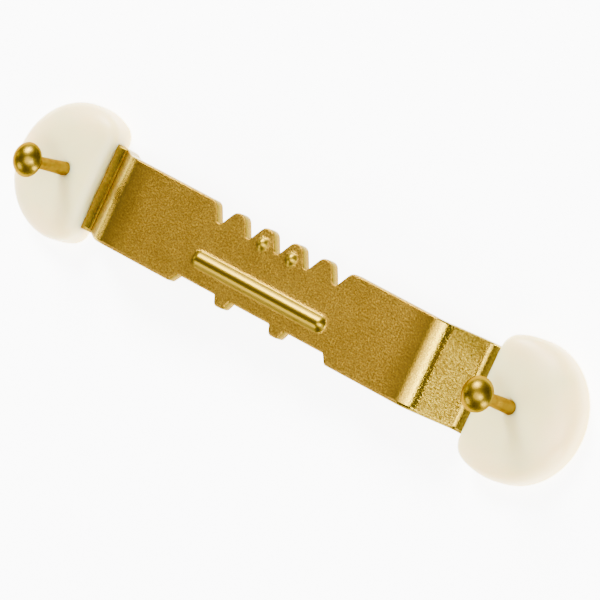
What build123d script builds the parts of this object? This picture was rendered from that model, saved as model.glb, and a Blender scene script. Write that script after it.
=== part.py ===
"""Sawtooth picture hanger: a stamped strip with a raised, toothed bridge and a flat foot at each end.
A slotted nylon holder on each foot keeps a round-head nail standing, ready to be driven.

Millimetres. X runs along the strip, +Y points to the teeth and +Z to the nail heads. The origin is on the
plane that the undersides of the holders lie in, midway between the two nails.
"""
from build123d import *
import os
from math import atan2, cos, degrees, radians, sin, tan

# Strip
plate_width = 9.5
sheet_thickness = 1.2
bridge_rise = 4.15
slope_angle = 48.0
bridge_bend_radius = 2.8
foot_crease_radius = 0.3
foot_reach = 4.0
foot_corner_radius = 2.0
foot_hole_clearance = 0.55

# Teeth along the upper edge of the bridge
tooth_count = 4
tooth_pitch = 3.95
notch_depth = 1.85
notch_flank_angle = 31.0
notch_root_width = 0.5
notch_root_radius = 0.2
tooth_tip_radius = 0.95

# Recess along the lower edge of the bridge, with two locating nubs
recess_depth = 0.98
recess_length = 20.0
recess_end_slant = 0.7
nub_spacing = 7.5
nub_root_width = 2.1
nub_tip_width = 1.2
nub_tip_radius = 0.5

# Pressed rib, and pressed dimples on the two middle teeth, each with the punch's hollow underneath
rib_length = 18.3
rib_width = 1.9
rib_height = 0.55
rib_from_lower_edge = 3.4
rib_hollow_width = 1.2
dimpled_teeth = (1, 2)
dimple_from_tips = 1.7
dimple_diameter = 1.5
dimple_height = 0.42
dimple_hollow_diameter = 0.9
hollow_depth = 0.4
hollow_taper = 30.0

# Nylon nail holders
nail_spacing = 61.2
holder_radius = 7.4
holder_flat_distance = 4.25
holder_crease_gap = 1.62
holder_floor = 0.8
holder_roof = 1.15
holder_rim_radius = 1.9
holder_flat_radius = 1.1
slot_clearance = 0.05

# Nails, each leaning a few degrees towards (+) or away from (-) the teeth
nail_lean_left = -2.7
nail_lean_right = 3.0
nail_exposed_length = 6.25
nail_point_cover = 0.3
nail_shank_diameter = 1.5
nail_neck_diameter = 1.2
nail_point_length = 1.8
nail_point_width = 0.2
nail_head_diameter = 3.9
nail_head_dome = 1.3
nail_bore_clearance = 0.02

# Heights and places that follow from the sizes above
half_width = plate_width / 2
half_thickness = sheet_thickness / 2
foot_middle = holder_floor + half_thickness
bridge_middle = foot_middle + bridge_rise
bridge_top = bridge_middle + half_thickness
bridge_underside = bridge_middle - half_thickness
nail_x = nail_spacing / 2
plate_end_x = nail_x + foot_reach
slope_foot_x = nail_x - holder_flat_distance - holder_crease_gap
slope_head_x = slope_foot_x - bridge_rise / tan(radians(slope_angle))
slot_height = sheet_thickness + slot_clearance
holder_height = holder_floor + slot_height + holder_roof
sides = {"left": -1, "right": 1}
nail_lean = {"left": nail_lean_left, "right": nail_lean_right}


def trapezoid(centre_x, edge_y, edge_width, inner_y, inner_width, mode):
    """Patch of a sketch with one parallel side on the strip's edge and the other one further in."""
    Polygon(
        (centre_x - edge_width / 2, edge_y),
        (centre_x - inner_width / 2, inner_y),
        (centre_x + inner_width / 2, inner_y),
        (centre_x + edge_width / 2, edge_y),
        align=None,
        mode=mode,
    )


def bridge_corners():
    """Corners of the sketched outline on the bridge, in rows of equal Y from the lower edge up."""
    return vertices().filter_by_position(Axis.X, -slope_head_x, slope_head_x).group_by(Axis.Y)


def cap_circle(width, height):
    """Radius of a circular cap of this width and height, and the angle at which its arc starts."""
    radius = (width**2 / 4 + height**2) / (2 * height)
    return radius, degrees(atan2(radius - height, width / 2))


def pressed_dome(centre_x, centre_y, diameter, height):
    """Round cap that rises from the top of the bridge."""
    radius, start = cap_circle(diameter, height)
    plane = Plane(origin=(centre_x, centre_y, bridge_top), x_dir=(1, 0, 0), z_dir=(0, -1, 0))
    with BuildSketch(plane) as half_cap:
        with BuildLine():
            arc = CenterArc((0, height - radius), radius, start, 90 - start)
            Polyline(arc @ 1, (0, 0), arc @ 0)
        make_face()
    revolve(half_cap.sketch, axis=Axis(plane.origin, (0, 0, 1)))


def nail_plane(side):
    """Plane through a nail's axis, with its origin on the holder's top face and its Y along the nail."""
    lean = radians(nail_lean[side])
    return Plane(
        origin=(sides[side] * nail_x, 0, holder_height),
        x_dir=(1, 0, 0),
        z_dir=(0, -cos(lean), sin(lean)),
    )


def nail_axis(side):
    """A nail's own axis, pointing to its head."""
    plane = nail_plane(side)
    return Axis(plane.origin, plane.y_dir)


os.makedirs("parts", exist_ok=True)

# Hanger plate: a side profile of one thickness, trimmed to the stamped outline and then pressed
side_points = [
    (-plate_end_x, foot_middle),
    (-slope_foot_x, foot_middle),
    (-slope_head_x, bridge_middle),
    (slope_head_x, bridge_middle),
    (slope_foot_x, foot_middle),
    (plate_end_x, foot_middle),
]
crease_radius = foot_crease_radius + half_thickness
bend_radius = bridge_bend_radius - half_thickness
foot_hole_radius = nail_shank_diameter / 2 + foot_hole_clearance
notch_mouth_width = notch_root_width + 2 * notch_depth * tan(radians(notch_flank_angle))
tip_half_width = (tooth_pitch - notch_mouth_width) / 2
tip_radius = min(tooth_tip_radius, 0.9 * tip_half_width / tan(radians(90 - notch_flank_angle) / 2))
recess_y = recess_depth - half_width
recess_mouth_length = recess_length + 2 * recess_end_slant
rib_y = rib_from_lower_edge - half_width
rib_straight = rib_length - rib_width
rib_end_x = rib_straight / 2
rib_radius, rib_start = cap_circle(rib_width, rib_height)
dimple_y = half_width - dimple_from_tips
dimple_places = [((tooth - (tooth_count - 1) / 2) * tooth_pitch, dimple_y) for tooth in dimpled_teeth]

with BuildPart() as hanger_plate:
    with BuildSketch(Plane.XZ):
        with BuildLine():
            FilletPolyline(*side_points, radius=[crease_radius, bend_radius, bend_radius, crease_radius])
        trace(line_width=sheet_thickness)
    extrude(amount=half_width, both=True)
    with BuildSketch():
        Rectangle(2 * plate_end_x, plate_width)
        fillet(vertices(), foot_corner_radius)
        with Locations((-nail_x, 0), (nail_x, 0)):
            Circle(foot_hole_radius, mode=Mode.SUBTRACT)
        for notch in range(tooth_count + 1):
            notch_x = (notch - tooth_count / 2) * tooth_pitch
            root_y = half_width - notch_depth
            trapezoid(notch_x, half_width, notch_mouth_width, root_y, notch_root_width, Mode.SUBTRACT)
        trapezoid(0, -half_width, recess_mouth_length, recess_y, recess_length, Mode.SUBTRACT)
        for nub_x in (-nub_spacing / 2, nub_spacing / 2):
            trapezoid(nub_x, -half_width, nub_tip_width, recess_y, nub_root_width, Mode.ADD)
        fillet(bridge_corners()[-2], notch_root_radius)
        fillet(bridge_corners()[-1], tip_radius)
        fillet(bridge_corners()[0], nub_tip_radius)
    extrude(amount=bridge_top, mode=Mode.INTERSECT)
    with BuildSketch(Plane.XY.offset(bridge_underside)):
        with Locations((0, rib_y)):
            SlotOverall(rib_straight + rib_hollow_width, rib_hollow_width)
        with Locations(dimple_places):
            Circle(dimple_hollow_diameter / 2)
    extrude(amount=hollow_depth, taper=hollow_taper, mode=Mode.SUBTRACT)
    with BuildSketch(Plane(origin=(-rib_end_x, rib_y, bridge_top), x_dir=(0, 1, 0), z_dir=(1, 0, 0))):
        with BuildLine():
            rib_arc = CenterArc((0, rib_height - rib_radius), rib_radius, rib_start, 180 - 2 * rib_start)
            Line(rib_arc @ 1, rib_arc @ 0)
        make_face()
    extrude(amount=rib_straight)
    for end_x in (-rib_end_x, rib_end_x):
        pressed_dome(end_x, rib_y, rib_width, rib_height)
    for place in dimple_places:
        pressed_dome(*place, dimple_diameter, dimple_height)
hanger_plate.part.label = "hanger_plate"
export_step(hanger_plate.part, "parts/hanger_plate.step")

# Nail holders: round-edged pucks cut to a D, slotted for the foot and bored for the nail
bore_radius = nail_shank_diameter / 2 + nail_bore_clearance
slot_end = foot_reach + slot_clearance

for side, sign in sides.items():
    outward = (sign, 0, 0)
    underside = Plane(origin=(sign * nail_x, 0, 0), x_dir=outward, z_dir=(0, 0, 1))
    flat_plane = Plane(origin=(sign * (nail_x - holder_flat_distance), 0, 0), z_dir=outward)
    with BuildPart() as nail_holder:
        with BuildSketch(Plane(origin=underside.origin, x_dir=(1, 0, 0), z_dir=(0, -1, 0))):
            Rectangle(holder_radius, holder_height, align=(Align.MIN, Align.MIN))
            fillet(vertices().group_by(Axis.X)[-1].sort_by(Axis.Y)[-1], holder_rim_radius)
        revolve(axis=Axis(underside.origin, (0, 0, 1)))
        split(bisect_by=flat_plane, keep=Keep.TOP)
        flat_edges = faces().sort_by(Axis((0, 0, 0), outward))[0].edges()
        fillet(flat_edges.sort_by(Axis.Z)[1:], holder_flat_radius)
        with BuildSketch(underside.offset(holder_floor)):
            with Locations((slot_end, 0)):
                Rectangle(
                    slot_end + holder_radius,
                    plate_width + 2 * slot_clearance,
                    align=(Align.MAX, Align.CENTER),
                )
            fillet(vertices().group_by(Axis.X)[-1], foot_corner_radius)
        extrude(amount=slot_height, mode=Mode.SUBTRACT)
        with BuildSketch(nail_plane(side)):
            Rectangle(bore_radius, 4 * holder_height, align=(Align.MIN, Align.CENTER))
        revolve(axis=nail_axis(side), mode=Mode.SUBTRACT)
    nail_holder.part.label = f"nail_holder_{side}"
    export_step(nail_holder.part, f"parts/nail_holder_{side}.step")

# Nails: pointed, with a shank that narrows to the neck and a domed head with a flat underside
point_y = nail_point_cover - holder_height
shank_radius = nail_shank_diameter / 2
dome_radius, dome_start = cap_circle(nail_head_diameter, nail_head_dome)
dome_centre_y = nail_exposed_length + nail_head_dome - dome_radius

for side in sides:
    with BuildPart() as nail:
        with BuildSketch(nail_plane(side)):
            with BuildLine():
                dome = CenterArc((0, dome_centre_y), dome_radius, dome_start, 90 - dome_start)
                Polyline(
                    dome @ 1,
                    (0, point_y),
                    (nail_point_width / 2, point_y),
                    (shank_radius, point_y + nail_point_length),
                    (shank_radius, 0),
                    (nail_neck_diameter / 2, nail_exposed_length),
                    dome @ 0,
                )
            make_face()
        revolve(axis=nail_axis(side))
    nail.part.label = f"nail_{side}"
    export_step(nail.part, f"parts/nail_{side}.step")
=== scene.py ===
"""Looks of the sawtooth picture hanger: a stamped brass-plated strip with rounded sheared edges, two moulded
nylon holders and two round-head nails.

Each piece is a surface worked out over two parameters, in the place of its solid. Sizes are in millimetres,
leans in degrees and colours in linear RGB. X runs along the strip, +Y to the teeth and +Z to the nail heads.
"""

import bpy
import numpy as np
from mathutils import Matrix


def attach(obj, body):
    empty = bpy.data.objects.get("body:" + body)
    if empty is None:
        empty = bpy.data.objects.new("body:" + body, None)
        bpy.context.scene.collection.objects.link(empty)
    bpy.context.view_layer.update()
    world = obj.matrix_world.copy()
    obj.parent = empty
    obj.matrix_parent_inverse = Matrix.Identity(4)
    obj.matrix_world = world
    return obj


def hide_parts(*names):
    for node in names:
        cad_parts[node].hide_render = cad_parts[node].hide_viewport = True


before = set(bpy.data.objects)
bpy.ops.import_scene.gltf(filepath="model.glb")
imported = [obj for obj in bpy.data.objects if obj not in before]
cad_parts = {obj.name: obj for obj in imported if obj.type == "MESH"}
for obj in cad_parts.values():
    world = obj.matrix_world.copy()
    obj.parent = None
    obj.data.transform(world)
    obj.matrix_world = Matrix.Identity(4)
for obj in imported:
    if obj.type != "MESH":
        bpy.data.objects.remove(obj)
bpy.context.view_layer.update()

MM = 0.001
SIDES = {"left": -1, "right": 1}

# Strip, as its solid has it
PLATE_HALF_WIDTH = 4.75
SHEET_HALF = 0.6
FOOT_MIDDLE = 1.4
BRIDGE_MIDDLE = 5.55
SLOPE_FOOT_X = 24.73
SLOPE_HEAD_X = 20.9933
PLATE_END_X = 34.6
BEND_RADIUS = 2.2
FOOT_CORNER_RADIUS = 2.0
FOOT_HOLE_RADIUS = 1.3

# How far a bend reaches into the bridge, and the foot hole's cutter above and below the middle of the sheet
BEND_REACH = 1.0
FOOT_HOLE_REACH = 1.0

# Edges and creases of the strip, softer than the solid's
CREASE_RADIUS = 1.5
TOP_EDGE_RADIUS = 0.16
BOTTOM_EDGE_RADIUS = 0.09
EDGE_STRETCH_LIMIT = 2.2

# Grid of the strip: how close its stations lie, and how many points cross each face and round each edge
PRESSED_REACH = 11.04
FINE_STEP = 0.16
COARSE_STEP = 0.24
STATION_GRID = 0.04
FOOT_STATIONS = 15
TRACED_POINTS = 6001
CORE_MARKS = (-3.3, -2.5, -0.2, 2.45)
CORE_SHARES = (0.0, 0.1, 0.75, 1.0)
CORE_MARGIN = 0.05
CORE_POINTS = 40
LOW_BAND_POINTS = 5
HIGH_BAND_POINTS = 24
EDGE_POINTS = 6
CORNER_POINTS = 9
BEND_POINTS = 17

# Teeth, recess and nubs
TOOTH_PITCH = 3.95
NOTCH_COUNT = 5
NOTCH_DEPTH = 1.85
NOTCH_ROOT_HALF = 0.25
NOTCH_MOUTH_HALF = 1.3616
NOTCH_ROOT_RADIUS = 0.2
TOOTH_TIP_RADIUS = 0.95
RECESS_DEPTH = 0.98
RECESS_HALF = 10.0
RECESS_SLANT = 0.7
NUB_X = 3.75
NUB_ROOT_HALF = 1.05
NUB_TIP_HALF = 0.6
NUB_TIP_RADIUS = 0.5
NUB_ROOT_RADIUS = 0.15
OUTLINE_END_STEP = 0.01

# Pressed rib and dimples, and the punch's hollows under them
RIB_Y = -1.35
RIB_HALF_LENGTH = 8.2
RIB_HALF_WIDTH = 0.95
RIB_HEIGHT = 0.55
RIB_HOLLOW_HALF_WIDTH = 0.6
DIMPLE_X = 1.975
DIMPLE_Y = 3.05
DIMPLE_RADIUS = 0.75
DIMPLE_HEIGHT = 0.42
DIMPLE_HOLLOW_RADIUS = 0.45
HOLLOW_DEPTH = 0.4
HOLLOW_SLOPE = 1.732
PRESS_SOFTNESS = 0.12
PRESS_REACH = 2.2

# Finish of the strip: where each stretch begins and ends, along its middle line from the centre
NEAR_BEND_STRETCH = (17.0, 20.4, 21.7, 22.3)
BEND_STRETCH = (19.6, 21.5, 21.8, 22.2)
SLOPE_STRETCH = (21.7, 22.3, 25.3, 26.5)
CREASE_STRETCH = (25.3, 25.9, 27.1, 27.6)
FOOT_START = (25.6, 26.4)

# Finish of the strip: depth below a face where the sheared wall and its painted shade start, and the two
# steps that turn the relief's height into the share of the pressed finish and of its painted shade
WALL_START = (0.03, 0.14)
RELIEF_START = (0.03, 0.2)
PRESSED_START = (0.02, 0.3)

# Finish of the strip: how much each stretch has of it
SMOOTHED_SHARE = {"near_bend": 0.6, "crease": 0.5, "foot": 0.5, "slope": -1.3}
POLISHED_SHARE = {"crease": 0.4, "rib": 0.2, "dimple": -0.1}
# These shares paint a brighter, yellower plating: partly a burnished finish, partly painted highlight
YELLOWED_AND_HIGHLIT_SHARE = {"slope": 0.8, "foot": 0.8, "dimple": 0.8}
# Share of the pressed parts' painted shade that the dimples lose, so that they are painted lighter
DIMPLE_SHADE_LOSS = 0.45

# Nylon holders, with rims and corners a little softer than the solids'
NAIL_X = 30.6
HOLDER_RADIUS = 7.39
HOLDER_FLAT = 4.25
HOLDER_CORNER = 2.0
HOLDER_HEIGHT = 3.2
HOLDER_RIM_RADIUS = 1.9
HOLDER_RIM_REACH = 3.2
HOLDER_FLAT_RADIUS = 1.05
HOLDER_FLAT_REACH = 1.6
HOLDER_RIM_BLEND = 0.7
HOLDER_BOTTOM_RADIUS = 0.2
SLOT_FLOOR = 0.8
SLOT_HEIGHT = 1.25
SLOT_HALF_WIDTH = 4.8
SLOT_END = 4.05
BORE_RADIUS = 0.77

# Grid of a holder
ROUND_POINTS = 121
HOLDER_CORNER_POINTS = 15
FLAT_POINTS = 41
RIM_RINGS = 17
FACE_RINGS = 12
WALL_RINGS = 8
FACE_CENTRE_SHARE = 0.02

# Nails: radius and place along the nail's axis, from the holder's top face, and the rounding of inner corners
NAIL_LEAN = {"left": -2.7, "right": 3.0}
NAIL_PROFILE = [(0.0, -2.9), (0.1, -2.9), (0.75, -1.1), (0.75, 0.0), (0.6, 6.25), (1.95, 6.25)]
NAIL_ROUNDING = [0.05, 0.5, 2.0, 0.2]
AROUND_POINTS = 72

# Nail heads: the rim's rounding starts at a share of the underside and replaces the dome's first points
HEAD_HALF_WIDTH, HEAD_UNDERSIDE = NAIL_PROFILE[-1]
HEAD_DOME_HEIGHT = 1.295
HEAD_RIM_RADIUS = 0.16
HEAD_RIM_START = 0.7
HEAD_RIM_POINTS = 4
HEAD_TIP_RADIUS = 0.01
DOME_POINTS = 25
# Painted shade on the head: the band of the rim that takes all of it, and the share the rest of the head
# takes
HEAD_RIM_BAND = (1.45, 1.9)
HEAD_SHADE_SHARE = 0.55

# Plating of the strip
PLATE_GRAZING_TINT = (0.92, 0.82, 0.55)
PLATE_COLOURS = [(0.1, (0.125, 0.065, 0.003)), (0.5, (0.2, 0.111, 0.0095)), (0.9, (0.35, 0.21, 0.018))]
# Brighter, yellower plating for the bends, slopes, feet and dimples: partly a burnished finish, partly
# painted highlight
YELLOWED_AND_HIGHLIT_COLOURS = [(0.1, (0.13, 0.082, 0.004)), (0.5, (0.235, 0.157, 0.01)), (0.9, (0.46, 0.33, 0.03))]
# Painted shade: a darker colour over the rib and dimples that dims their highlights
PRESSED_SHADE_COLOUR = (0.162, 0.104, 0.006)
# Painted shade: a darker colour on the sheared walls, set against the bright floor's reflection in them
WALL_SHADE_COLOUR = (0.06, 0.0415, 0.001)
PLATE_GRAIN_SCALE = 5200.0
PLATE_BLOTCH_SCALE = 420.0
SPECK_CONTRAST = 2.3
BLOTCH_CONTRAST = 0.3
PLATE_ROUGHNESS = 0.34
POLISHING = 0.17
PLATE_BUMP_STRENGTH = 1.0
PLATE_BUMP_DEPTH = 0.06

# Plating of the nails
NAIL_GRAZING_TINT = (0.72, 0.54, 0.18)
NAIL_COLOURS = [(0.35, (0.24, 0.162, 0.012)), (0.65, (0.155, 0.096, 0.0052))]
# Painted shade on the nail heads, deepest at the rim, where the bright floor's reflection would show
HEAD_SHADE_COLOUR = (0.085, 0.051, 0.002)
NAIL_GRAIN_SCALE = 2400.0
NAIL_BLOTCH_SCALE = 900.0
NAIL_ROUGHNESS = 0.2
NAIL_BLOTCH_ROUGHNESS = 0.24
NAIL_BUMP_STRENGTH = 0.25
NAIL_BUMP_DEPTH = 0.03

# Nylon of the holders
NYLON_COLOURS = [(0.3, (0.7, 0.57, 0.262)), (0.7, (0.73, 0.6, 0.29))]
NYLON_SCATTER = (1.0, 0.75, 0.5)
NYLON_SCATTER_DEPTH = 3.5
NYLON_IOR = 1.53
NYLON_GRAIN_SCALE = 1500.0
NYLON_BLOTCH_SCALE = 180.0
NYLON_ROUGHNESS = 0.32
NYLON_BLOTCH_ROUGHNESS = 0.2
NYLON_BUMP_STRENGTH = 0.12
NYLON_BUMP_DEPTH = 0.03

# Grain group: detail of its two noises
GRAIN_DETAIL = 3.0
GRAIN_ROUGHNESS = 0.6
BLOTCH_DETAIL = 4.0
NOISE_MIDDLE = 0.5

# Studio: place, width and watts of each light, all turned to the origin
LIGHTS = {
    "key": ((-340, 490, 465), 280, 22.0),
    "overhead": ((100, -70, 800), 480, 8.8),
    "far_left": ((-620, -20, 230), 160, 0.8),
    "overhead_right": ((372, -60, 706), 200, 6.5),
    "low_right": ((560, -350, 280), 200, 7.5),
    "fill": ((-385, -483, 329), 280, 3.0),
}
WHITE = (1.0, 1.0, 1.0, 1.0)
SURROUND_STRENGTH = 0.27
FLOOR_HALF = 3000.0
FLOOR_COLOUR = (0.9, 0.9, 0.9, 1.0)
FLOOR_ROUGHNESS = 0.9
FLOOR_GLOW = 6.0

# Camera, fitted to the photograph: its three axes, and its place along them from the origin
CAMERA_RIGHT = (0.73499, 0.41976, -0.53253)
CAMERA_UP = (-0.39472, 0.90344, 0.16733)
CAMERA_BACK = (0.55135, 0.08721, 0.82971)
CAMERA_PLACE = (0.3368, -1.0488, 560.175)
FOCAL_PIXELS = 5526.62
IMAGE_PIXELS = 600
SENSOR = 36.0


def rounded_line(corners, radii, arc_points=CORNER_POINTS):
    """Straight runs between the corners, with each inner corner cut back by r tan(turn / 2) both ways and
    replaced by an arc of radius r that is tangent to both runs."""
    corners = np.asarray(corners, float)
    pieces = [corners[:1]]
    for before, corner, after, radius in zip(corners, corners[1:], corners[2:], radii):
        along = (corner - before) / np.linalg.norm(corner - before)
        beyond = (after - corner) / np.linalg.norm(after - corner)
        turn = np.arccos(np.clip(along @ beyond, -1, 1))
        inward = (beyond - along * np.cos(turn)) / np.sin(turn)
        angle = np.linspace(0, turn, arc_points)[:, None]
        start = corner - radius * np.tan(turn / 2) * along
        pieces.append(start + radius * (np.sin(angle) * along + (1 - np.cos(angle)) * inward))
    pieces.append(corners[-1:])
    return np.concatenate(pieces)


def smooth_step(low, high, value):
    """0 below low, 1 above high, and 3t^2 - 2t^3 between them."""
    t = np.clip((value - low) / (high - low), 0, 1)
    return t * t * (3 - 2 * t)


def smooth_stretch(rising, risen, falling, fallen, value):
    """1 between risen and falling, with a smooth step up before and a smooth step down after."""
    return smooth_step(rising, risen, value) * (1 - smooth_step(falling, fallen, value))


def strip_line():
    """Middle of the sheet seen from the side: foot, crease, slope, bend, bridge and the same mirrored."""
    half = [(PLATE_END_X, FOOT_MIDDLE), (SLOPE_FOOT_X, FOOT_MIDDLE), (SLOPE_HEAD_X, BRIDGE_MIDDLE)]
    corners = [(-x, z) for x, z in half] + half[::-1]
    return rounded_line(corners, [CREASE_RADIUS, BEND_RADIUS, BEND_RADIUS, CREASE_RADIUS], BEND_POINTS)


def toothed_edge():
    """Upper outline y(x): straight, with a V-notch on each side of every tooth and rounded foot corners."""
    top = PLATE_HALF_WIDTH
    end = top - FOOT_CORNER_RADIUS - OUTLINE_END_STEP
    corners = [(-PLATE_END_X, end), (-PLATE_END_X, top)]
    radii = [FOOT_CORNER_RADIUS]
    for notch in range(NOTCH_COUNT):
        x = (notch - (NOTCH_COUNT - 1) / 2) * TOOTH_PITCH
        corners += [(x - NOTCH_MOUTH_HALF, top), (x - NOTCH_ROOT_HALF, top - NOTCH_DEPTH)]
        corners += [(x + NOTCH_ROOT_HALF, top - NOTCH_DEPTH), (x + NOTCH_MOUTH_HALF, top)]
        radii += [TOOTH_TIP_RADIUS, NOTCH_ROOT_RADIUS, NOTCH_ROOT_RADIUS, TOOTH_TIP_RADIUS]
    corners += [(PLATE_END_X, top), (PLATE_END_X, end)]
    return rounded_line(corners, radii + [FOOT_CORNER_RADIUS])


def nubbed_edge():
    """Lower outline y(x): straight, stepped in by a recess that has two nubs standing in it."""
    low = -PLATE_HALF_WIDTH
    floor = low + RECESS_DEPTH
    right = [(NUB_X - NUB_ROOT_HALF, floor), (NUB_X - NUB_TIP_HALF, low), (NUB_X + NUB_TIP_HALF, low)]
    right += [(NUB_X + NUB_ROOT_HALF, floor), (RECESS_HALF, floor), (RECESS_HALF + RECESS_SLANT, low)]
    right += [(PLATE_END_X, low), (PLATE_END_X, low + FOOT_CORNER_RADIUS + OUTLINE_END_STEP)]
    radii = [NUB_ROOT_RADIUS, NUB_TIP_RADIUS, NUB_TIP_RADIUS, NUB_ROOT_RADIUS]
    radii += [NUB_ROOT_RADIUS, NUB_TIP_RADIUS, FOOT_CORNER_RADIUS]
    corners = [(-x, y) for x, y in right[::-1]] + right
    return rounded_line(corners, radii[::-1] + radii)


def press_distances(x, y):
    """Distances from (x, y) to the rib's middle line and to the nearer dimple's centre."""
    to_rib = np.hypot(np.maximum(np.abs(x) - RIB_HALF_LENGTH, 0), y - RIB_Y)
    return to_rib, np.hypot(np.abs(x) - DIMPLE_X, y - DIMPLE_Y)


def pressed_relief(x, y):
    """Height pressed up at (x, y): caps c = h (1 - (d / w)^2) of the distance d to the rib and the dimples,
    with their feet softened by (c + sqrt(c^2 + k^2)) / 2."""
    relief = np.zeros_like(y)
    sizes = ((RIB_HALF_WIDTH, RIB_HEIGHT), (DIMPLE_RADIUS, DIMPLE_HEIGHT))
    for distance, (half_width, height) in zip(press_distances(x, y), sizes):
        cap = height * (1 - (distance / half_width) ** 2)
        within = distance < PRESS_REACH * half_width
        relief += (cap + np.sqrt(cap**2 + PRESS_SOFTNESS**2)) / 2 * within
    return relief


def punched_hollow(x, y):
    """Depth of the punch's hollow at (x, y): a slope m (w - d) in from its mouth, down to a flat floor."""
    depth = np.zeros_like(y)
    for distance, half_width in zip(press_distances(x, y), (RIB_HOLLOW_HALF_WIDTH, DIMPLE_HOLLOW_RADIUS)):
        depth += np.clip(HOLLOW_SLOPE * (half_width - distance), 0, HOLLOW_DEPTH)
    return depth


def arc_lengths(line):
    """Running sum of sqrt(dx^2 + dz^2) along the line, counted from its middle."""
    run = np.concatenate([[0], np.cumsum(np.hypot(*np.diff(line, axis=0).T))])
    return run - run[-1] / 2


def strip_stations(run, upper, lower):
    """Places along the middle line where the strip has a section: close together over the pressed features,
    wider beyond them, and one at each point of the bent line, of the outline and of the foot's round end.
    They run from the right end to the left, so that the faces between their loops point outwards."""
    on_bridge = np.concatenate([upper[:, 0], lower[:, 0]])
    on_bridge = on_bridge[np.abs(on_bridge) < SLOPE_HEAD_X - BEND_REACH]
    on_foot = run[-1] - np.linspace(0, FOOT_CORNER_RADIUS, FOOT_STATIONS)
    fine = np.arange(0, PRESSED_REACH, FINE_STEP)
    coarse = np.arange(PRESSED_REACH, run[-1], COARSE_STEP)
    even = np.concatenate([fine, coarse, on_foot])
    stations = np.concatenate([even, -even, run, on_bridge])
    stations = np.unique(np.round(stations / STATION_GRID)) * STATION_GRID
    return np.clip(stations, run[0], run[-1])[::-1]


def strip_heading(line, run, stations):
    """Angle of the middle line at each station: arctan(dz / dx) on a finely traced copy of the line."""
    traced = np.linspace(run[0], run[-1], TRACED_POINTS)
    traced_x = np.interp(traced, run, line[:, 0])
    traced_z = np.interp(traced, run, line[:, 1])
    return np.interp(stations, traced, np.arctan2(np.gradient(traced_z), np.gradient(traced_x)))


def face_points(low, high):
    """Points across a face from low to high: an even band, a core that is closest on the rib, and a band. The
    core shrinks by low / (its first mark - a margin) where the foot's round end is narrower than it."""
    core = np.interp(np.linspace(0, 1, CORE_POINTS), CORE_SHARES, CORE_MARKS)[None]
    core = core * np.minimum(1, low / (CORE_MARKS[0] - CORE_MARGIN))
    low_band = np.linspace(0, 1, LOW_BAND_POINTS, endpoint=False)[None]
    high_band = np.linspace(0, 1, HIGH_BAND_POINTS)[None, 1:]
    below = low + low_band * (core[:, :1] - low)
    above = core[:, -1:] + high_band * (high - core[:, -1:])
    return np.concatenate([below, core, above], 1)


def strip_masks(along, loop_y, loop_w, relief):
    """Shares of each finish over the strip, from the place along it, the depth below its faces and the height
    of the relief: sheared wall (painted shade), pressed (painted shade), smoothed, polished, and a brighter,
    yellower plating that is partly a burnished finish and partly painted highlight."""
    away = np.abs(along)
    near_bend = smooth_stretch(*NEAR_BEND_STRETCH, away)
    bend = smooth_stretch(*BEND_STRETCH, away)
    slope = smooth_stretch(*SLOPE_STRETCH, away)
    crease = smooth_stretch(*CREASE_STRETCH, away)
    foot = smooth_step(*FOOT_START, away)
    pressed = smooth_step(*PRESSED_START, smooth_step(*RELIEF_START, relief))
    dimple = pressed * (np.abs(loop_y - DIMPLE_Y) < 2 * DIMPLE_RADIUS)
    rib = pressed - dimple
    smoothed = np.maximum(SMOOTHED_SHARE["crease"] * crease, SMOOTHED_SHARE["foot"] * foot)
    smoothed = np.maximum(SMOOTHED_SHARE["near_bend"] * near_bend, smoothed)
    polished = np.maximum(bend, POLISHED_SHARE["crease"] * crease)
    # Brighter, yellower plating: partly a burnished finish, partly painted highlight
    yellowed_and_highlit = np.maximum(bend, YELLOWED_AND_HIGHLIT_SHARE["slope"] * slope) + YELLOWED_AND_HIGHLIT_SHARE["foot"] * foot
    return {
        # Painted shade on the sheared walls
        "wall": smooth_step(*WALL_START, SHEET_HALF - np.abs(loop_w)),
        # Painted shade over the rib and, less of it, the dimples
        "pressed": pressed - DIMPLE_SHADE_LOSS * dimple,
        "smoothed": np.maximum(smoothed + SMOOTHED_SHARE["slope"] * slope, pressed),
        "polished": polished + POLISHED_SHARE["rib"] * rib + POLISHED_SHARE["dimple"] * dimple,
        "yellowed_and_highlit": np.maximum(yellowed_and_highlit, YELLOWED_AND_HIGHLIT_SHARE["dimple"] * dimple),
    }


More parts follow.
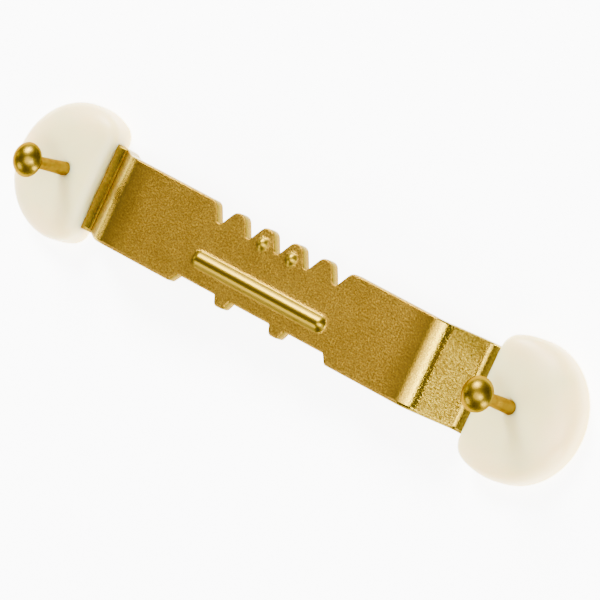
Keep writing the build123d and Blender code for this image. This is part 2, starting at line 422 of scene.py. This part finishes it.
def strip_surface():
    """Stations along the strip's middle line, each with a loop round its section: top face, rounded upper
    edge, bottom face, rounded lower edge. A loop point is the station's centre + w times its normal, at its
    own y. An edge's arc is widened by sqrt(1 + (dy / dx)^2), up to a limit, so that it keeps its radius where
    the outline slants."""
    line = strip_line()
    run = arc_lengths(line)
    upper, lower = toothed_edge(), nubbed_edge()
    stations = strip_stations(run, upper, lower)
    x = np.interp(stations, run, line[:, 0])
    z = np.interp(stations, run, line[:, 1])[:, None]
    heading = strip_heading(line, run, stations)[:, None]
    high = np.interp(x, upper[:, 0], upper[:, 1])
    low = np.interp(x, lower[:, 0], lower[:, 1])
    stretch_high = np.clip(np.hypot(1, np.gradient(high, x)), 1, EDGE_STRETCH_LIMIT)[:, None]
    stretch_low = np.clip(np.hypot(1, np.gradient(low, x)), 1, EDGE_STRETCH_LIMIT)[:, None]
    x, high, low = x[:, None], high[:, None], low[:, None]

    top_high, top_low = TOP_EDGE_RADIUS * stretch_high, TOP_EDGE_RADIUS * stretch_low
    bottom_high, bottom_low = BOTTOM_EDGE_RADIUS * stretch_high, BOTTOM_EDGE_RADIUS * stretch_low
    top_y = face_points(low + top_low, high - top_high)
    bottom_y = face_points(low + bottom_low, high - bottom_high)[:, ::-1]
    relief = pressed_relief(x, top_y)
    quarter = np.linspace(0, np.pi / 2, EDGE_POINTS)[None, 1:]
    sine, cosine = np.sin(quarter), np.cos(quarter)
    top_corner = np.ones_like(x) * (SHEET_HALF - TOP_EDGE_RADIUS * (1 - cosine))
    bottom_corner = np.ones_like(x) * (BOTTOM_EDGE_RADIUS * (1 - sine) - SHEET_HALF)
    loops_y = [top_y, high - top_high * (1 - sine), high - bottom_high * (1 - cosine)]
    loops_y += [bottom_y, low + bottom_low * (1 - sine), low + top_low * (1 - cosine)]
    loops_w = [SHEET_HALF + relief, top_corner, bottom_corner]
    loops_w += [punched_hollow(x, bottom_y) - SHEET_HALF, bottom_corner[:, ::-1], top_corner[:, ::-1]]
    loop_y, loop_w = np.concatenate(loops_y, 1), np.concatenate(loops_w, 1)
    points = np.stack([x - loop_w * np.sin(heading), loop_y, z + loop_w * np.cos(heading)], -1)
    loop_relief = np.zeros_like(loop_y)
    loop_relief[:, : top_y.shape[1]] = relief
    return points, strip_masks(stations[:, None], loop_y, loop_w, loop_relief)


def holder_outline():
    """D outline round the nail's axis: the large arc, a small arc at each corner and the flat on the -x side,
    as points, outward normals and the share of the round side's rim rather than the flat's."""
    reach = HOLDER_RADIUS - HOLDER_CORNER
    corner_x = HOLDER_CORNER - HOLDER_FLAT
    corner_y = np.sqrt(reach**2 - corner_x**2)
    meet = np.arctan2(corner_y, corner_x)
    round_angle = np.linspace(-meet, meet, ROUND_POINTS)
    corner_angle = np.linspace(meet, np.pi, HOLDER_CORNER_POINTS)[1:]
    flat_y = np.linspace(corner_y, -corner_y, FLAT_POINTS)[1:-1]
    large = np.stack([np.cos(round_angle), np.sin(round_angle)], -1)
    small = np.stack([np.cos(corner_angle), np.sin(corner_angle)], -1)
    mirrored = (small * (1, -1))[::-1]
    centre = np.array([corner_x, corner_y])
    flat = np.stack([np.full_like(flat_y, -HOLDER_FLAT), flat_y], -1)
    flat_normal = np.broadcast_to([-1.0, 0.0], flat.shape)
    points = [HOLDER_RADIUS * large, centre + HOLDER_CORNER * small, flat]
    points.append(centre * (1, -1) + HOLDER_CORNER * mirrored)
    share = smooth_step(0, HOLDER_RIM_BLEND, meet - np.abs(round_angle))
    share = np.concatenate([share, np.zeros(2 * len(small) + len(flat_y))])
    return np.concatenate(points), np.concatenate([large, small, flat_normal, mirrored]), share


def holder_surface(sign):
    """Rings of the D outline: ring k is the outline moved d_k along its inward normal at height z_k, shrunk
    by the share s_k towards the nail's axis on the two flat faces. The rim is a quarter of an ellipse, which
    reaches further in than down, most of all on the round side, so the top reads as one crown."""
    outline, normal, round_share = holder_outline()
    high = HOLDER_FLAT_RADIUS + round_share * (HOLDER_RIM_RADIUS - HOLDER_FLAT_RADIUS)
    reach = HOLDER_FLAT_REACH + round_share * (HOLDER_RIM_REACH - HOLDER_FLAT_REACH)
    low = HOLDER_BOTTOM_RADIUS
    across = np.ones((1, len(outline)))
    face = np.linspace(FACE_CENTRE_SHARE, 1, FACE_RINGS)[:-1, None] * across
    quarter = np.linspace(0, np.pi / 2, RIM_RINGS)[:, None] * across
    wall = low + np.linspace(0, 1, WALL_RINGS)[1:-1, None] * (HOLDER_HEIGHT - high - low)
    whole_face, whole_quarter, whole_wall = np.ones_like(face), np.ones_like(quarter), np.ones_like(wall)
    inset = [low * whole_face, low * (1 - np.sin(quarter)), 0 * wall]
    inset += [reach * (1 - np.cos(quarter)), reach * whole_face]
    height = [0 * face, low * (1 - np.cos(quarter)), wall]
    height += [HOLDER_HEIGHT - high * (1 - np.sin(quarter)), HOLDER_HEIGHT * whole_face]
    share = [face, whole_quarter, whole_wall, whole_quarter, face[::-1]]
    inset, height, share = (np.concatenate(values)[..., None] for values in (inset, height, share))
    plan = (outline[None] - inset * normal[None]) * share
    return np.concatenate([plan, height], -1) * (sign, sign, 1) + (sign * NAIL_X, 0, 0)


def revolved(profile, origin, lean):
    """Profile of (radius, place along the axis) carried round an axis through origin that leans by the given
    angle towards +y."""
    angle = np.linspace(0, 2 * np.pi, AROUND_POINTS, endpoint=False)[None]
    radius, along = profile[:, :1], profile[:, 1:]
    lean = np.radians(lean)
    side = radius * np.sin(angle)
    x = radius * np.cos(angle)
    y = side * np.cos(lean) + along * np.sin(lean)
    z = along * np.cos(lean) - side * np.sin(lean)
    return np.stack([x, y, z], -1) + np.asarray(origin, float)


def nail_profile():
    """Point, shank, neck, flat underside, rounded rim and a circular dome of radius (w^2 + h^2) / 2h."""
    dome_radius = (HEAD_HALF_WIDTH**2 + HEAD_DOME_HEIGHT**2) / (2 * HEAD_DOME_HEIGHT)
    start = np.arctan2(dome_radius - HEAD_DOME_HEIGHT, HEAD_HALF_WIDTH)
    angle = np.linspace(start, np.pi / 2, DOME_POINTS)
    dome = dome_radius * np.stack([np.cos(angle), np.sin(angle)], -1)
    dome[:, 1] += HEAD_UNDERSIDE + HEAD_DOME_HEIGHT - dome_radius
    dome = dome[HEAD_RIM_POINTS:]
    stem = rounded_line(NAIL_PROFILE, NAIL_ROUNDING)
    rim_start = (1 - HEAD_RIM_START) * stem[-2] + HEAD_RIM_START * stem[-1]
    rim = rounded_line([rim_start, stem[-1], dome[0]], [HEAD_RIM_RADIUS])
    profile = np.concatenate([stem[1:-1], rim[:-1], dome])
    profile[-1, 0] = HEAD_TIP_RADIUS
    return profile


def nail_surface(origin, lean):
    """The nail's profile carried round its axis, with a mask of painted shade: 0 on the shank, a set share on
    the head and 1 at the head's rim."""
    profile = nail_profile()
    points = revolved(profile, origin, lean)
    # Painted shade: a set share over the head and all of it at the rim
    on_head = HEAD_SHADE_SHARE * (profile[:, 1:] > HEAD_UNDERSIDE)
    painted_head_shade = np.maximum(on_head, smooth_step(*HEAD_RIM_BAND, profile[:, :1]))
    return points, {"painted_head_shade": np.broadcast_to(painted_head_shade, points.shape[:2])}


def box_points(low, high):
    """Two square loops of four corners, at the low and the high z."""
    corners = [(low[0], low[1]), (high[0], low[1]), (high[0], high[1]), (low[0], high[1])]
    return np.array([[(x, y, z) for x, y in corners] for z in (low[2], high[2])], float)


def new_object(name, data):
    """Object of the given data, linked to the scene."""
    made = bpy.data.objects.new(name, data)
    bpy.context.scene.collection.objects.link(made)
    return made


def grid_piece(name, points, masks=None):
    """Mesh of a grid of points in millimetres: quads between neighbouring rows and columns, columns closed
    into loops, the first and last row closed by a face each, and each mask kept as a point attribute."""
    rows, columns = points.shape[:2]
    index = np.arange(rows * columns).reshape(rows, columns)
    turned = np.roll(index, -1, axis=1)
    quads = np.stack([index[:-1], turned[:-1], turned[1:], index[1:]], -1).reshape(-1, 4)
    ends = [index[0, ::-1].tolist(), index[-1].tolist()]
    mesh = bpy.data.meshes.new(name)
    mesh.from_pydata((points.reshape(-1, 3) * MM).tolist(), [], quads.tolist() + ends)
    mesh.shade_smooth()
    for label, values in (masks or {}).items():
        layer = mesh.attributes.new(label, "FLOAT", "POINT")
        layer.data.foreach_set("value", np.ascontiguousarray(values, np.float32).ravel())
    return new_object(name, mesh)


def cut(piece, *cutters):
    """Takes the cutters out of the piece, with their walls left flat, and removes them."""
    for cutter in cutters:
        cutter.data.shade_flat()
        step = piece.modifiers.new("cut", "BOOLEAN")
        step.operation = "DIFFERENCE"
        step.solver = "EXACT"
        step.object = cutter
    graph = bpy.context.evaluated_depsgraph_get()
    finished = bpy.data.meshes.new_from_object(piece.evaluated_get(graph))
    piece.modifiers.clear()
    piece.data = finished
    for cutter in cutters:
        bpy.data.objects.remove(cutter)


def sandy_grain_group():
    """Fine grain of rolled, plated sheet: two noises, one for the grains and one for slow blotches."""
    tree = bpy.data.node_groups.new("sandy_grain", "ShaderNodeTree")
    sockets = {"Grain Scale": "INPUT", "Blotch Scale": "INPUT", "Height": "OUTPUT", "Blotch": "OUTPUT"}
    for label, way in sockets.items():
        tree.interface.new_socket(label, in_out=way, socket_type="NodeSocketFloat")
    nodes, links = tree.nodes, tree.links
    given, result = nodes.new("NodeGroupInput"), nodes.new("NodeGroupOutput")
    place = nodes.new("ShaderNodeTexCoord")
    grain = nodes.new("ShaderNodeTexNoise")
    grain.inputs["Detail"].default_value = GRAIN_DETAIL
    grain.inputs["Roughness"].default_value = GRAIN_ROUGHNESS
    blotch = nodes.new("ShaderNodeTexNoise")
    blotch.inputs["Detail"].default_value = BLOTCH_DETAIL
    links.new(place.outputs["Object"], grain.inputs["Vector"])
    links.new(place.outputs["Object"], blotch.inputs["Vector"])
    links.new(given.outputs["Grain Scale"], grain.inputs["Scale"])
    links.new(given.outputs["Blotch Scale"], blotch.inputs["Scale"])
    links.new(grain.outputs["Fac"], result.inputs["Height"])
    links.new(blotch.outputs["Fac"], result.inputs["Blotch"])
    return tree


def blank_material(name):
    """Material with only a Principled shader and its output; returns it with its nodes, links and shader."""
    material = bpy.data.materials.new(name)
    material.use_nodes = True
    nodes, links = material.node_tree.nodes, material.node_tree.links
    return material, nodes, links, nodes["Principled BSDF"]


def feed(links, slot, value):
    """Gives a node's slot a value, which is another node's socket or a constant."""
    if isinstance(value, bpy.types.NodeSocket):
        links.new(value, slot)
    else:
        slot.default_value = value


def grain_node(nodes, group, grain_scale, blotch_scale):
    """The grain group placed in a material with its own scales; returns its height and blotch sockets."""
    node = nodes.new("ShaderNodeGroup")
    node.node_tree = group
    node.inputs["Grain Scale"].default_value = grain_scale
    node.inputs["Blotch Scale"].default_value = blotch_scale
    return node.outputs["Height"], node.outputs["Blotch"]


def attribute(nodes, label):
    """Value of a surface attribute."""
    node = nodes.new("ShaderNodeAttribute")
    node.attribute_name = label
    return node.outputs["Fac"]


def math_node(nodes, links, operation, *values):
    """Math node of its values, each a socket or a number."""
    node = nodes.new("ShaderNodeMath")
    node.operation = operation
    for slot, value in zip(node.inputs, values):
        feed(links, slot, value)
    return node.outputs["Value"]


def ramp(nodes, links, stops, value):
    """Colour that a ramp through the given (place, colour) stops has at the value."""
    node = nodes.new("ShaderNodeValToRGB")
    elements = node.color_ramp.elements
    while len(elements) < len(stops):
        elements.new(0.5)
    for element, (place, colour) in zip(elements, stops):
        element.position = place
        element.color = (*colour, 1.0)
    links.new(value, node.inputs["Fac"])
    return node.outputs["Color"]


def blend(nodes, links, share, colour, other):
    """Colour that goes over to the other, a socket or an RGBA constant, as the share rises from 0 to 1."""
    node = nodes.new("ShaderNodeMix")
    node.data_type = "RGBA"
    first, second = (slot for slot in node.inputs if slot.type == "RGBA")
    links.new(share, node.inputs["Factor"])
    links.new(colour, first)
    feed(links, second, other)
    return next(slot for slot in node.outputs if slot.type == "RGBA")


def add_bump(nodes, links, shader, height, strength, depth):
    """Bump of the given strength and depth on the shader's normal."""
    bump = nodes.new("ShaderNodeBump")
    bump.inputs["Strength"].default_value = strength
    bump.inputs["Distance"].default_value = depth * MM
    links.new(height, bump.inputs["Height"])
    links.new(bump.outputs["Normal"], shader.inputs["Normal"])


def plated_brass(group):
    """Brass plating: sandy on the flats, sandier on the slopes, smooth over the rib and the dimples, polished
    in the bends and creases, yellower and brighter on the bends, slopes, feet and dimples, partly a burnished
    finish and partly painted highlight, and darkened by painted shade over the rib, less over the dimples,
    and on the sheared walls."""
    material, nodes, links, shader = blank_material("plated_brass")
    shader.inputs["Metallic"].default_value = 1.0
    shader.inputs["Specular Tint"].default_value = (*PLATE_GRAZING_TINT, 1.0)
    grain, blotch = grain_node(nodes, group, PLATE_GRAIN_SCALE, PLATE_BLOTCH_SCALE)
    dull = math_node(nodes, links, "SUBTRACT", 1.0, attribute(nodes, "smoothed"))
    speck = math_node(nodes, links, "SUBTRACT", grain, NOISE_MIDDLE)
    speck = math_node(nodes, links, "MULTIPLY", speck, dull)
    speck = math_node(nodes, links, "MULTIPLY", speck, SPECK_CONTRAST)
    patch = math_node(nodes, links, "SUBTRACT", blotch, NOISE_MIDDLE)
    patch = math_node(nodes, links, "MULTIPLY", patch, BLOTCH_CONTRAST)
    tone = math_node(nodes, links, "ADD", speck, patch)
    tone = math_node(nodes, links, "ADD", tone, NOISE_MIDDLE)
    colour = ramp(nodes, links, PLATE_COLOURS, tone)
    yellowed_and_highlit_colour = ramp(nodes, links, YELLOWED_AND_HIGHLIT_COLOURS, tone)
    # Brighter, yellower plating: partly a burnished finish, partly painted highlight
    colour = blend(nodes, links, attribute(nodes, "yellowed_and_highlit"), colour, yellowed_and_highlit_colour)
    # Painted shade over the rib and dimples
    colour = blend(nodes, links, attribute(nodes, "pressed"), colour, (*PRESSED_SHADE_COLOUR, 1.0))
    # Painted shade on the sheared walls
    colour = blend(nodes, links, attribute(nodes, "wall"), colour, (*WALL_SHADE_COLOUR, 1.0))
    links.new(colour, shader.inputs["Base Color"])
    rough = math_node(nodes, links, "MULTIPLY", attribute(nodes, "polished"), -POLISHING)
    rough = math_node(nodes, links, "ADD", rough, PLATE_ROUGHNESS)
    links.new(rough, shader.inputs["Roughness"])
    height = math_node(nodes, links, "MULTIPLY", dull, grain)
    add_bump(nodes, links, shader, height, PLATE_BUMP_STRENGTH, PLATE_BUMP_DEPTH)
    return material


def nail_brass(group):
    """Smooth plating of the drawn wire and its struck head: faint brown blotches, and painted shade darkening
    the head, most at its rim."""
    material, nodes, links, shader = blank_material("nail_brass")
    shader.inputs["Metallic"].default_value = 1.0
    shader.inputs["Specular Tint"].default_value = (*NAIL_GRAZING_TINT, 1.0)
    grain, blotch = grain_node(nodes, group, NAIL_GRAIN_SCALE, NAIL_BLOTCH_SCALE)
    colour = ramp(nodes, links, NAIL_COLOURS, blotch)
    # Painted shade on the head, deepest at its rim
    colour = blend(nodes, links, attribute(nodes, "painted_head_shade"), colour, (*HEAD_SHADE_COLOUR, 1.0))
    links.new(colour, shader.inputs["Base Color"])
    rough = math_node(nodes, links, "MULTIPLY", blotch, NAIL_BLOTCH_ROUGHNESS)
    rough = math_node(nodes, links, "ADD", rough, NAIL_ROUGHNESS)
    links.new(rough, shader.inputs["Roughness"])
    add_bump(nodes, links, shader, grain, NAIL_BUMP_STRENGTH, NAIL_BUMP_DEPTH)
    return material


def white_nylon(group):
    """Moulded nylon: warm white, a little translucent, softly glossy with a barely uneven skin."""
    material, nodes, links, shader = blank_material("white_nylon")
    shader.inputs["Subsurface Weight"].default_value = 1.0
    shader.inputs["Subsurface Radius"].default_value = NYLON_SCATTER
    shader.inputs["Subsurface Scale"].default_value = NYLON_SCATTER_DEPTH * MM
    shader.inputs["IOR"].default_value = NYLON_IOR
    grain, blotch = grain_node(nodes, group, NYLON_GRAIN_SCALE, NYLON_BLOTCH_SCALE)
    links.new(ramp(nodes, links, NYLON_COLOURS, blotch), shader.inputs["Base Color"])
    rough = math_node(nodes, links, "MULTIPLY", blotch, NYLON_BLOTCH_ROUGHNESS)
    rough = math_node(nodes, links, "ADD", rough, NYLON_ROUGHNESS)
    links.new(rough, shader.inputs["Roughness"])
    add_bump(nodes, links, shader, grain, NYLON_BUMP_STRENGTH, NYLON_BUMP_DEPTH)
    return material


def floor_paper():
    """Pale paper that glows a little, so that the part lies on near-white."""
    material, _, _, shader = blank_material("paper")
    shader.inputs["Base Color"].default_value = FLOOR_COLOUR
    shader.inputs["Roughness"].default_value = FLOOR_ROUGHNESS
    shader.inputs["Emission Color"].default_value = WHITE
    shader.inputs["Emission Strength"].default_value = FLOOR_GLOW
    return material


def place_piece(piece, node, material):
    """Puts the piece in a solid's place, on the only body, with its finish."""
    piece.data.materials.clear()
    piece.data.materials.append(material)
    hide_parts(node)
    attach(piece, "root")


def turned_matrix(right, up, back, place):
    """World matrix of a light or camera with these three axes, at the place in millimetres."""
    matrix = np.eye(4)
    matrix[:3, :3] = np.stack([right, up, back], 1)
    matrix[:3, 3] = np.multiply(place, MM)
    return Matrix(matrix.tolist())


def soft_light(name, place, size, power):
    """Square area light at place, turned to shine on the origin."""
    lamp = bpy.data.lights.new(name, "AREA")
    lamp.energy = power
    lamp.size = size * MM
    back = place / np.linalg.norm(place)
    right = np.cross((0.0, 1.0, 0.0), back)
    right /= np.linalg.norm(right)
    new_object(name, lamp).matrix_world = turned_matrix(right, np.cross(back, right), back, place)


def photo_camera():
    """Camera with its three axes, at the sum of each axis times the place along it."""
    lens = bpy.data.cameras.new("camera")
    lens.sensor_width = SENSOR
    lens.lens = FOCAL_PIXELS * SENSOR / IMAGE_PIXELS
    camera = new_object("camera", lens)
    axes = np.array([CAMERA_RIGHT, CAMERA_UP, CAMERA_BACK])
    camera.matrix_world = turned_matrix(*axes, axes.T @ CAMERA_PLACE)
    return camera


# Pieces
grain_group = sandy_grain_group()
brass, wire, nylon = plated_brass(grain_group), nail_brass(grain_group), white_nylon(grain_group)

strip = grid_piece("hanger_strip", *strip_surface())
hole = np.array([(FOOT_HOLE_RADIUS, -FOOT_HOLE_REACH), (FOOT_HOLE_RADIUS, FOOT_HOLE_REACH)])
foot_holes = [
    grid_piece(f"foot_hole_{side}", revolved(hole, (sign * NAIL_X, 0, FOOT_MIDDLE), 0.0))
    for side, sign in SIDES.items()
]
cut(strip, *foot_holes)
place_piece(strip, "hanger_plate", brass)

bore = np.array([(BORE_RADIUS, -2 * HOLDER_HEIGHT), (BORE_RADIUS, HOLDER_HEIGHT)])
for side, sign in SIDES.items():
    top = (sign * NAIL_X, 0, HOLDER_HEIGHT)
    holder = grid_piece(f"nylon_holder_{side}", holder_surface(sign))
    slot_x = sorted((sign * (NAIL_X - HOLDER_RADIUS), sign * (NAIL_X + SLOT_END)))
    slot_low = (slot_x[0], -SLOT_HALF_WIDTH, SLOT_FLOOR)
    slot_high = (slot_x[1], SLOT_HALF_WIDTH, SLOT_FLOOR + SLOT_HEIGHT)
    slot_cutter = grid_piece(f"slot_{side}", box_points(slot_low, slot_high))
    bore_cutter = grid_piece(f"bore_{side}", revolved(bore, top, NAIL_LEAN[side]))
    cut(holder, slot_cutter, bore_cutter)
    place_piece(holder, f"nail_holder_{side}", nylon)
    nail = grid_piece(f"round_nail_{side}", *nail_surface(top, NAIL_LEAN[side]))
    place_piece(nail, f"nail_{side}", wire)

# Studio: pale floor, even surround, soft lights and the camera
floor_mesh = bpy.data.meshes.new("floor")
floor_corners = FLOOR_HALF * MM * np.array([(-1, -1, 0), (1, -1, 0), (1, 1, 0), (-1, 1, 0)])
floor_mesh.from_pydata(floor_corners.tolist(), [], [(0, 1, 2, 3)])
floor_mesh.materials.append(floor_paper())
floor = new_object("floor", floor_mesh)

world = bpy.data.worlds.new("surround")
world.use_nodes = True
surround = world.node_tree.nodes["Background"]
surround.inputs["Color"].default_value = WHITE
surround.inputs["Strength"].default_value = SURROUND_STRENGTH
bpy.context.scene.world = world

for name, (place, size, power) in LIGHTS.items():
    soft_light(name, place, size, power)
bpy.context.scene.camera = photo_camera()
